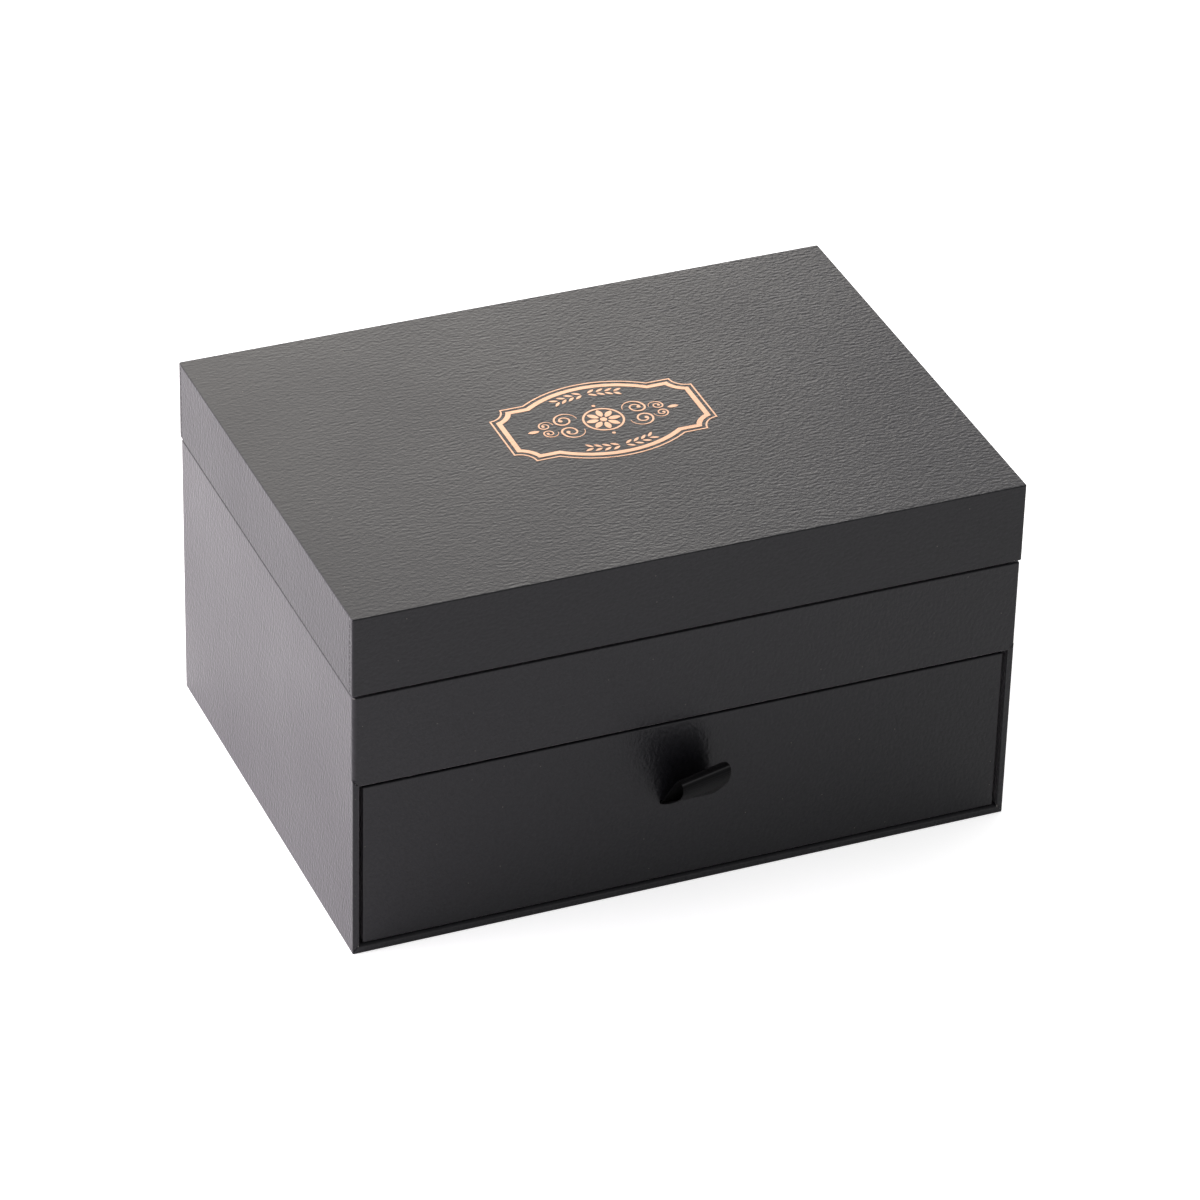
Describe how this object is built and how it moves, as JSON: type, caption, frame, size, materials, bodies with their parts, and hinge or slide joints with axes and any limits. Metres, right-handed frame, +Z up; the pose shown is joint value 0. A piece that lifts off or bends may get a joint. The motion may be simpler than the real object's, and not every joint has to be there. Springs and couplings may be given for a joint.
{
  "type": "sliding drawer gift box",
  "caption": "Rigid paper-covered gift box with a lift-off lid on an inner collar, a tray under it and a full-width drawer below, pulled by a ribbon loop.",
  "frame": {"origin": "middle of the underside of the case", "axes": "+X along the front to the right as seen from the front, -Y towards the front where the drawer opens, +Z up"},
  "size_m": [0.2502, 0.1991, 0.1391],
  "materials": {
    "covering_paper": "black covering paper with an embossed leather grain, semi-gloss",
    "base_paper": "plain black paper, matte",
    "lining_paper": "smooth black paper, matte",
    "greyboard": "raw grey board, hidden under the paper",
    "foil": "rose-gold hot-stamped foil",
    "ribbon": "black woven ribbon"
  },
  "bodies": {
    "case": {"case_left_board": "greyboard", "case_right_board": "greyboard", "case_back_board": "greyboard", "case_front_panel": "greyboard", "case_bottom_board": "greyboard", "case_wrap": "covering_paper", "base_paper": "base_paper", "bay_lining": "lining_paper", "tray_deck": "greyboard", "tray_lining": "lining_paper", "collar_left": "greyboard", "collar_right": "greyboard", "collar_front": "greyboard", "collar_back": "greyboard", "collar_wrap": "lining_paper"},
    "lid": {"lid_top_board": "greyboard", "lid_left_board": "greyboard", "lid_right_board": "greyboard", "lid_front_board": "greyboard", "lid_back_board": "greyboard", "lid_wrap": "covering_paper", "lid_lining": "lining_paper", "foil_border": "foil", "foil_ornament": "foil"},
    "drawer": {"drawer_bottom_board": "greyboard", "drawer_left_board": "greyboard", "drawer_right_board": "greyboard", "drawer_front_board": "greyboard", "drawer_back_board": "greyboard", "drawer_wrap": "covering_paper", "drawer_base_paper": "base_paper", "drawer_lining": "lining_paper", "pull_ribbon": "ribbon", "ribbon_patch": "lining_paper"}
  },
  "joints": [
    {"name": "drawer_slide", "type": "slide", "parent": "case", "child": "drawer", "axis": [0, -1, 0], "range_m": [0, 0.15]},
    {"name": "lid_lift", "type": "slide", "parent": "case", "child": "lid", "axis": [0, 0, 1], "range_m": [0, 0.08]}
  ]
}
